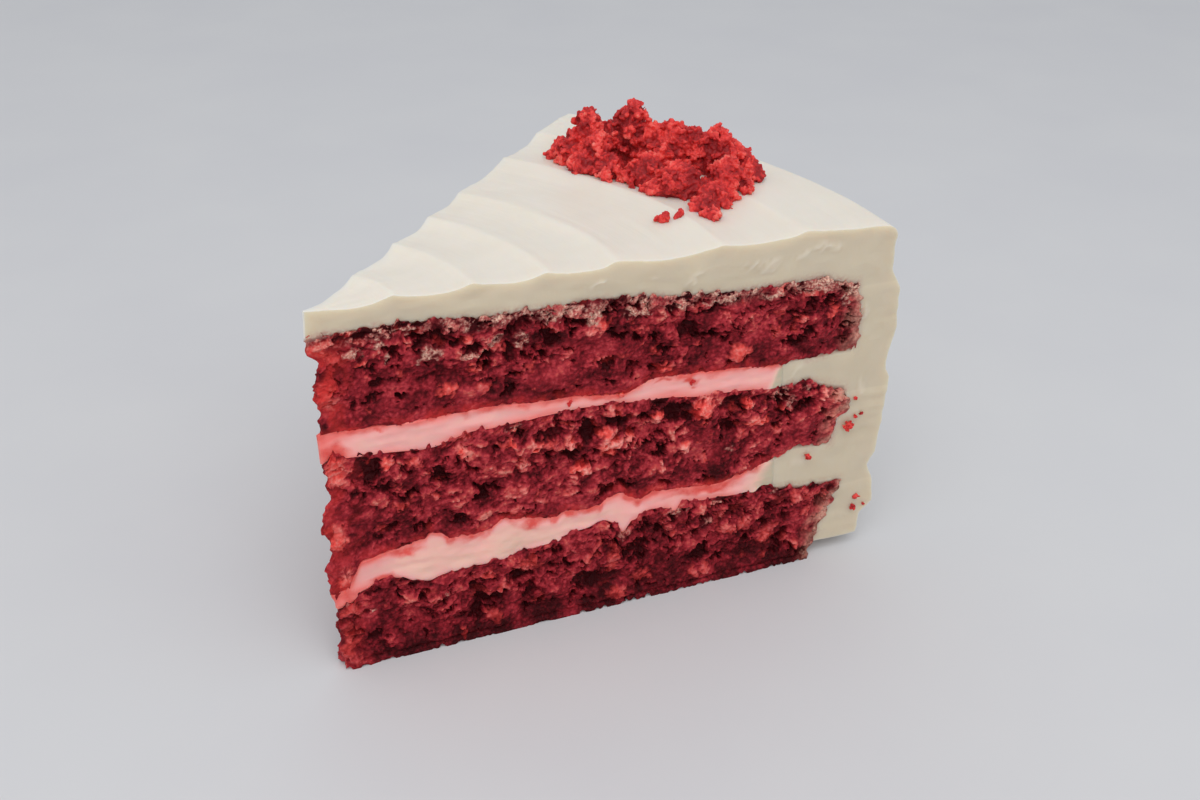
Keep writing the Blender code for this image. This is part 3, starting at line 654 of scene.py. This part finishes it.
# Torn flecks on the cut frosting: (mm from the axis, mm up, mm long, mm high)
FLECKS = (
    (72, 71.8, 3.4, 1.4), (71, 70.6, 1.6, 1.4), (84, 72, 3.4, 1.2), (87.6, 71.6, 3.2, 1.8),
    (86.4, 70.4, 1.8, 1.4), (94, 72.4, 2.4, 1.4), (98, 73.4, 4, 1.2), (101.6, 73, 3.4, 1.4),
    (103.6, 73.8, 1.6, 1), (52, 73.2, 3, 1), (63, 72.6, 2.4, 0.8), (110, 58, 1.6, 3),
    (111, 40, 1.4, 2.4), (96, 47.4, 3, 1), (99, 25, 4, 0.8),
)
# Widths on the cut: the lighter band under its upper edge, and crumb specks and red beside a sponge
ARRIS_DEPTH, BLUSH_WIDTH, SOAKED_WIDTH = 3.2, 2, 0.7


def frosting_top(radius, angle):
    """Height of the coat's top: crests with a long fall outwards and a short rise inwards, then the rim."""
    radius = np.maximum(radius + LEVEL_WANDER * wander(radius, angle, 9), 0)
    height = np.interp(radius, (RIDGE_RADII[-1], WALL_RADIUS), (RIDGE_HEIGHT, RIM_HEIGHT))
    for inner, outer in zip(RIDGE_RADII, RIDGE_RADII[1:]):
        trough = inner + TROUGH_SHARE * (outer - inner)
        fall, rise = (radius - inner) / (trough - inner), (outer - radius) / (outer - trough)
        share = np.clip(np.minimum(fall, rise), 0, 1)
        here = (radius >= inner) & (radius <= outer)
        height = np.where(here, RIDGE_HEIGHT + (TROUGH_HEIGHT - RIDGE_HEIGHT) * share * (2 - share), height)
    return height


# Whole frosting, spread cold: satin and nearly white, with fine lines that the spatula drew round the axis.
# On the cut it is painted darker and yellower: the darkness is painted shade, as the upright cut gets less of
# the light from above.
spread_frosting, tree, shader = food("cream_cheese_frosting_spread", 0.42, 0.7, 3.5)
shader.inputs["Subsurface Radius"].default_value = (1, 0.8, 0.6)
section = node(tree, "ShaderNodeAttribute", {}, attribute_name="section").outputs["Vector"]
cut, arris, blush, fleck, soaked = (
    node(tree, "ShaderNodeAttribute", {}, attribute_name=name).outputs["Fac"]
    for name in ("cut", "arris", "blush", "fleck", "soaked")
)
drawn = node(tree, "ShaderNodeMapping", {"Vector": section, "Scale": (1, 0.6, 0.06)})
lines = node(tree, "ShaderNodeTexNoise", {"Vector": drawn, "Scale": per_size(1.6), "Detail": 4})
cloud = node(tree, "ShaderNodeTexNoise", {"Vector": section, "Scale": per_size(9), "Detail": 3})
whole = node(tree, "ShaderNodeValToRGB", {"Fac": cloud}, stops=((0.3, "#e8dfd0"), (0.7, "#ece3d5")))
# The cut's colour, darker than the top's: painted shade, with a yellower tint.
shaded_cut = node(tree, "ShaderNodeValToRGB", {"Fac": cloud}, stops=((0.3, "#d2c3a9"), (0.7, "#d6c8b0")))
crumbs = node(tree, "ShaderNodeTexNoise", {"Vector": section, "Scale": per_size(0.7), "Detail": 3})
dotted = node(tree, "ShaderNodeMath", {0: crumbs, 1: 3, 2: -0.9}, operation="MULTIPLY_ADD")
dotted = node(tree, "ShaderNodeMath", {0: dotted, 1: blush}, operation="MULTIPLY", use_clamp=True)
shaded_cut = node(tree, "ShaderNodeMixRGB", {"Fac": arris, "Color1": shaded_cut, "Color2": linear("#dccdb3")})
surface = whole
for mask, colour in (
    (cut, shaded_cut), (fleck, linear("#e2d6c4")), (dotted, linear("#c08f80")), (soaked, linear("#84302f")),
):
    surface = node(tree, "ShaderNodeMixRGB", {"Fac": mask, "Color1": surface, "Color2": colour})
tree.links.new(surface.outputs[0], shader.inputs["Base Color"])
bump = node(tree, "ShaderNodeBump", {"Height": lines, "Strength": 0.25, "Distance": 0.3 * MM})
tree.links.new(bump.outputs[0], shader.inputs["Normal"])

band_starts = np.cumsum((0,) + BAND_ROWS)
top_band = len(BAND_ROWS) - 1
rows = int(band_starts[-1])
inner_columns = round((SPONGE_RADIUS - TIP_RADIUS) / COAT_STEP)
tongue_column = round((TONGUE_RADIUS - TONGUE_OVERLAP - TIP_RADIUS) / COAT_STEP)


def not_coat(column, row):
    """Whether a section cell belongs to a sponge or a filling."""
    band = int(np.searchsorted(band_starts, row, side="right")) - 1
    if column >= inner_columns or band == top_band:
        return False
    return band % 2 == 0 or column < tongue_column


columns = inner_columns + WALL_COLUMNS
mesh, column, row, turn = spun_block("coat_frosting", columns, rows, COAT_TURNS, not_coat)
angle = turned(turn, COAT_TURNS)
inside = np.minimum(column, inner_columns)
radius = TIP_RADIUS + (SPONGE_RADIUS - TIP_RADIUS) * inside / inner_columns
band = np.minimum(np.searchsorted(band_starts, row, side="right") - 1, top_band)
share = (row - band_starts[band]) / np.array(BAND_ROWS)[band]
levels = [level(number, radius, angle) for number in range(len(LEVELS))] + [frosting_top(radius, angle)]
lapped = [level + LAP * lap for level, lap in zip(levels, (0, -1, 1, -1, 1, -1, 0))]
lapped[0] = lapped[0] + HEM_HEIGHT
low, high = np.choose(band, lapped[:-1]), np.choose(band, lapped[1:])
height = low + (high - low) * share
edge = along(SPONGE_EDGE, height)
radius = bent_to_edge(radius, height)
across = np.clip((column - inner_columns) / WALL_COLUMNS, 0, 1)
points = on_circle(radius, angle, height)
wall = along(COAT_WALL, height) + WALL_WANDER * wander(height, angle, 12)
wall = wall + 0.25 * uneven(points * (0.15, 0.15, 1), 1.8, (2, 3, 4))
radius = np.where(across > 0, edge + (wall - edge) * across, radius)
lifted = np.where(band == top_band, frosting_top(radius, angle), high)
height = np.where(across > 0, low + (lifted - low) * share, height)
corner_up = (height - (lifted - RIM_ROUND)) / RIM_ROUND * (band == top_band)
corner_out = (radius - (wall - RIM_ROUND)) / RIM_ROUND
rounded = (corner_up > 0) & (corner_out > 0)
longest = np.maximum(corner_up, corner_out)
squeeze = longest / np.maximum(np.hypot(corner_up, corner_out), 1e-6)
radius = np.where(rounded, wall - RIM_ROUND + RIM_ROUND * corner_out * squeeze, radius)
height = np.where(rounded, lifted - RIM_ROUND + RIM_ROUND * corner_up * squeeze, height)
on_top = (row == rows).astype(float)
points = on_circle(radius, angle, height)
strokes = uneven(np.column_stack([radius, 8 * angle, 0 * radius]), 1.7, (2, 0, 0))
height = height + on_top * (0.22 * uneven(points, 14, (1, 1, 1)) + 0.1 * strokes)
cut = ((turn == 0) | (turn == COAT_TURNS)).astype(float)
warp = 1.5 * uneven(points, 1.6, (3, 0, 0)), 1.3 * uneven(points, 1.2, (0, 0, 5))
fleck = spots(radius, height, FLECKS, warp, 0.6) * cut
off_sponges = [np.maximum(levels[base] - height, height - levels[base + 1]) for base in (0, 2, 4)]
away = np.maximum(np.min(off_sponges, axis=0), radius - along(SPONGE_EDGE, height))
lapping = np.clip(-away / LAP, 0, 1)
depth = knife_cut(points) + 0.3 * fleck - 0.5 * lapping
depth -= 0.8 * np.clip((TONGUE_RADIUS + 0.3 - radius) / 0.7, 0, 1) * (row < band_starts[-2])
arris = np.clip(1 - (lifted - height) / ARRIS_DEPTH, 0, 1) ** 2
blush = np.clip(1 - away / BLUSH_WIDTH, 0, 1) ** 2 * np.clip(0.7 + uneven(points, 3, (2, 8, 2)), 0, 1)
soaked = np.clip(-away / SOAKED_WIDTH, 0, 1)
paint(mesh, cut=cut, arris=arris, blush=blush * cut, fleck=0.5 * fleck, soaked=soaked)
keep_section(mesh, radius, angle, height)
set_points(mesh, radius, angle, height, depth)
finish_piece(mesh, spread_frosting, "frosting", "frosting_coat")
mesh.set_sharp_from_angle(angle=KNIFE_EDGE)


# ---- The heap of crumbs --------------------------------------------------------------
# Trimmings of the same sponge, rubbed to crumbs and dropped on the frosting in a heap: clusters
# of granules a millimetre across, which hold together because the crumb is moist.
HEAP_VOXEL = 0.26
HEAP_BASE = 76.5
# Mounds of the heap: (mm from the axis, mm to the side, mm radius, mm high)
MOUNDS = (
    (82.8, 20.5, 5, 7), (82, 24.5, 3, 4.5), (79.5, 15, 4, 4), (85.5, 19.5, 5.2, 11.5), (84, 15, 5, 8),
    (88.5, 16, 5, 9), (90.5, 11.5, 6, 13.6), (82, 10, 5, 5), (93, 2.5, 7, 10.5), (85.5, 1.5, 6, 6.5),
    (81.5, -3.5, 3.5, 3), (97, 0, 5, 9), (99, -4.5, 6, 10), (102, -7.5, 4.5, 6.5),
    (101.5, -11.5, 3.5, 4.5), (86, -5.5, 6.5, 6.5), (94, -12, 5.5, 6), (88, -13, 5, 4),
    (82.5, -15.5, 3.2, 3.2), (80.5, -19.5, 2.2, 2.2), (91.8, 7, 5, 9.6),
)
# Each mound is a close core of packed crumb, and crumbs spread evenly over it along a spiral
CORE_SHARE = 0.68
CORE_BALLS = 7
HEAP_CRUMBS = 680
GOLDEN_ANGLE = math.radians(137.5)


def top_at(x, y):
    """Height of the frosting at one place, in mm from the axis."""
    return float(frosting_top(np.array([math.hypot(x, y)]), np.array([math.atan2(y, x)]))[0])


def cluster(draw, centre, size, grain_small, grain_large):
    """Granules round the outside of one crumb, as (centre, radius) pairs."""
    grains = [(Vector(centre), 0.7 * size)]
    for _ in range(round(13 * size * size) + 6):
        away = Vector((draw.gauss(0, 1), draw.gauss(0, 1), draw.gauss(0, 1))).normalized()
        grain = draw.uniform(grain_small, grain_large)
        grains.append((Vector(centre) + away * (size * draw.uniform(0.6, 1.15) - 0.4 * grain), grain))
    return grains


def without_bubbles(mesh, smallest):
    """The same mesh without stray grains and without the closed hollows that a remesh leaves inside."""
    bm = bmesh.new()
    bm.from_mesh(mesh)
    left = set(bm.verts)
    while left:
        found = {left.pop()}
        edge = list(found)
        while edge:
            beside = {link.other_vert(vert) for vert in edge for link in vert.link_edges} - found
            found |= beside
            edge = list(beside)
        left -= found
        middle = sum((vert.co for vert in found), Vector()) / len(found)
        if len(found) < smallest or sum((vert.co - middle).dot(vert.normal) for vert in found) < 0:
            bmesh.ops.delete(bm, geom=list(found), context="VERTS")
    bm.to_mesh(mesh)
    bm.free()
    return mesh


def granule_mesh(name, grains, draw, voxel, smallest):
    """Uneven balls melted into one skin by a voxel remesh; smallest is the fewest points of a crumb."""
    bm = bmesh.new()
    bmesh.ops.create_icosphere(bm, subdivisions=2, radius=1)
    ball = np.array([vert.co for vert in bm.verts])
    faces = np.array([[vert.index for vert in face.verts] for face in bm.faces])
    bm.free()
    points, triangles = [], []
    for number, (centre, size) in enumerate(grains):
        squash = np.array([draw.uniform(0.75, 1.2) for _ in range(3)])
        points.append(ball * squash * size + np.array(centre))
        triangles.append(faces + number * len(ball))
    rough = bpy.data.meshes.new(name)
    rough.from_pydata((np.concatenate(points) * MM).tolist(), [], np.concatenate(triangles).tolist())
    carrier = bpy.data.objects.new(name, rough)
    bpy.context.scene.collection.objects.link(carrier)
    melt = carrier.modifiers.new("melt", "REMESH")
    melt.mode = "VOXEL"
    melt.voxel_size = voxel * MM
    mesh = bpy.data.meshes.new_from_object(carrier.evaluated_get(bpy.context.evaluated_depsgraph_get()))
    bpy.data.objects.remove(carrier)
    bpy.data.meshes.remove(rough)
    mesh.name = name
    return without_bubbles(mesh, smallest)


# The same crumb broken up small, painted brighter than on the cut for the light that comes through the
# granules, with a coarse matt grain. Painted shade darkens it deep inside the heap between the clusters and
# in the cracks between granules, and it is painted lighter where granules stand out.
loose_crumb, tree, shader = food("velvet_sponge_rubbed_crumb", 0.6, 0.5, 1.5)
shader.inputs["Subsurface Radius"].default_value = (1, 0.2, 0.12)
here = node(tree, "ShaderNodeTexCoord", {}).outputs["Object"]
core, relief = (
    node(tree, "ShaderNodeAttribute", {}, attribute_name=name).outputs["Fac"] for name in ("core", "relief")
)
patches = node(tree, "ShaderNodeTexNoise", {"Vector": here, "Scale": per_size(4), "Detail": 3})
cells = granules(tree, here, 0.5)
shade = -0.74
for source, weight in ((patches, 1.7), (relief, 0.35), (cells, 0.25), (core, -1)):
    shade = node(tree, "ShaderNodeMath", {0: source, 1: weight, 2: shade}, operation="MULTIPLY_ADD")
crumb = node(tree, "ShaderNodeValToRGB", {"Fac": shade}, stops=(
    (0, "#9c171b"), (0.25, "#c92a2a"), (0.5, "#f04842"), (0.75, "#ff6f64"), (1, "#ffa294")))
tree.links.new(crumb.outputs[0], shader.inputs["Base Color"])
bump = node(tree, "ShaderNodeBump", {"Height": cells, "Strength": 0.5, "Distance": 0.35 * MM})
tree.links.new(bump.outputs[0], shader.inputs["Normal"])


def roughened(mesh, coarse, fine, depth):
    """A mesh's points in mm, lifted into granules of two sizes, and how far each stands out, from 0 to 1."""
    places, normals = np.empty((2, 3 * len(mesh.vertices)), np.float32)
    mesh.vertices.foreach_get("co", places)
    mesh.vertex_normals.foreach_get("vector", normals)
    points = places.reshape(-1, 3).astype(float) / MM
    lift = 0.6 * crumbled(points, coarse) + 0.4 * crumbled(points, fine, (5, 5, 5))
    return points + depth * lift[:, None] * normals.reshape(-1, 3), np.clip(0.5 + 0.4 * lift, 0, 1)


draw = random.Random(31)
grains = []
area = sum(size * (size + height) for _, _, size, height in MOUNDS)
for x, y, size, height in MOUNDS:
    for rise in np.arange(CORE_BALLS) / CORE_BALLS:
        centre = Vector((x, y, top_at(x, y) + rise * (height - 0.4 * size)))
        grains.append((centre, CORE_SHARE * size * math.sqrt(1 - rise * rise)))
    count = round(HEAP_CRUMBS * size * (size + height) / area)
    for number in range(count):
        rise, turn = (number + draw.random()) / count, GOLDEN_ANGLE * number + draw.uniform(-0.5, 0.5)
        crumb_size = 0.65 + 0.9 * draw.random() ** 1.5
        reach = size * math.sqrt(1 - rise * rise) * draw.uniform(0.76, 1.08) - 0.5 * crumb_size
        place = x + reach * math.cos(turn), y + reach * math.sin(turn)
        above = max(height * rise - 0.8 * crumb_size, 0.4 * crumb_size)
        grains += cluster(draw, (*place, top_at(*place) + above), crumb_size, 0.22, 0.45)
mesh = granule_mesh("heap_crumbs", grains, draw, HEAP_VOXEL, smallest=400)
points, relief = roughened(mesh, 1.3, 0.75, 0.3)
ground = frosting_top(np.hypot(points[:, 0], points[:, 1]), np.arctan2(points[:, 1], points[:, 0]))
points[:, 2] = np.maximum(points[:, 2], ground - 0.4)
points[:, 2] = np.minimum(points[:, 2], cad_box[1].z / MM - BOX_MARGIN)
# Painted shade: darker the deeper a point lies inside a mound.
core = np.zeros(len(points))
for x, y, size, height in MOUNDS:
    away = (((points - (x, y, HEAP_BASE)) / (size, size, height)) ** 2).sum(axis=1)
    core = np.maximum(core, np.clip(1 - away, 0, 1))
paint(mesh, core=0.6 * core, relief=relief)
place_points(mesh, points + (AXIS_X, 0, 0))
finish_piece(mesh, loose_crumb, "crumb", "crumb_topping")


# ---- Loose crumbs --------------------------------------------------------------------
# Crumbs that fell from the heap onto the frosting, and crumbs that the knife dragged from the
# sponges onto the cut frosting. They only rest on the soft frosting or stick to it.
CRUMB_VOXEL = 0.16
# Crumbs above this height lie on the coat
COAT_FROM = 70
# On the coat: (mm from the axis, mm to the side, mm radius). On the cut: (mm from the axis, mm up, mm radius)
DROPPED = ((72.4, -14.2, 1.25), (71.6, -13.4, 0.8), (75.3, -15.7, 0.75), (74.4, -15.6, 0.4))
DRAGGED = (
    (108.8, 31.5, 1.1), (99.8, 26, 0.8), (111.8, 34, 0.35), (113, 12.8, 0.7), (112.5, 10, 0.6),
    (115.2, 10.5, 0.35), (110.3, 33.5, 0.3), (109.8, 38, 0.3), (47, 49.6, 0.4), (57.6, 49.2, 0.4),
    (72.2, 49.3, 0.5),
)

draw = random.Random(57)
grains = []
for x, y, size in DROPPED:
    grains += cluster(draw, (x, y, top_at(x, y) + 0.7 * size), size, 0.3, 0.5)
for radius, height, size in DRAGGED:
    out = radius * math.cos(HALF_ANGLE) - 0.2 * size * math.sin(HALF_ANGLE)
    grains += cluster(draw, (out, -radius * math.sin(HALF_ANGLE) - 0.2 * size, height), size, 0.2, 0.4)
mesh = granule_mesh("loose_crumbs", grains, draw, CRUMB_VOXEL, smallest=40)
points, relief = roughened(mesh, 1, 0.5, 0.25)
# Painted light: crumbs that lie on top of the coat are painted lighter than those on the upright cut.
lit_on_coat = np.where(points[:, 2] > COAT_FROM, 0.5, 0)
paint(mesh, core=np.zeros(len(points)), relief=0.5 * relief + lit_on_coat)
place_points(mesh, points + (AXIS_X, 0, 0))
finish_piece(mesh, loose_crumb, "crumb")


# ---- Floor, light and camera ---------------------------------------------------------
# A plain pale matt floor under one wide soft light from above, as in a light tent.
bm = bmesh.new()
bmesh.ops.create_grid(bm, x_segments=1, y_segments=1, size=4)
mesh = bpy.data.meshes.new("floor")
bm.to_mesh(mesh)
bm.free()
paper, tree, shader = food("pale_paper_matt", 0.85, 0, 1)
fibres = node(tree, "ShaderNodeTexNoise", {"Scale": per_size(6), "Detail": 3})
sheet = node(tree, "ShaderNodeValToRGB", {"Fac": fibres}, stops=((0.3, "#d3d2d3"), (0.7, "#d6d5d5")))
tree.links.new(sheet.outputs[0], shader.inputs["Base Color"])
mesh.materials.append(paper)
floor = bpy.data.objects.new("floor", mesh)
bpy.context.scene.collection.objects.link(floor)

lamp = bpy.data.lights.new("softbox", "AREA")
lamp.shape, lamp.size, lamp.energy = "SQUARE", 0.9, 5
holder = bpy.data.objects.new("softbox", lamp)
holder.location = (-0.35, -0.42, 0.84)
holder.rotation_euler = (Vector((0, 0, 0.04)) - holder.location).to_track_quat("-Z", "Y").to_euler()
bpy.context.scene.collection.objects.link(holder)
world = bpy.data.worlds.new("light_tent")
world.use_nodes = True
sky = world.node_tree.nodes["Background"]
sky.inputs["Color"].default_value = linear("#e4e8ee")
sky.inputs["Strength"].default_value = 0.75
bpy.context.scene.world = world
bpy.context.scene.view_settings.view_transform = "Standard"

# The camera stands where the proportions of the cut say that it stood
lens = bpy.data.cameras.new("camera")
lens.lens, lens.sensor_width = 41.09, 36
lens.clip_start = 0.01
camera = bpy.data.objects.new("camera", lens)
yaw, down, roll = math.radians(44.18), math.radians(30.515), math.radians(1.13)
camera.matrix_world = (
    Matrix.Translation((-0.16796, -0.17547, 0.17962)) @ Matrix.Rotation(yaw - math.pi / 2, 4, "Z")
    @ Matrix.Rotation(math.pi / 2 - down, 4, "X") @ Matrix.Rotation(roll, 4, "Z")
)
bpy.context.scene.collection.objects.link(camera)
bpy.context.scene.camera = camera
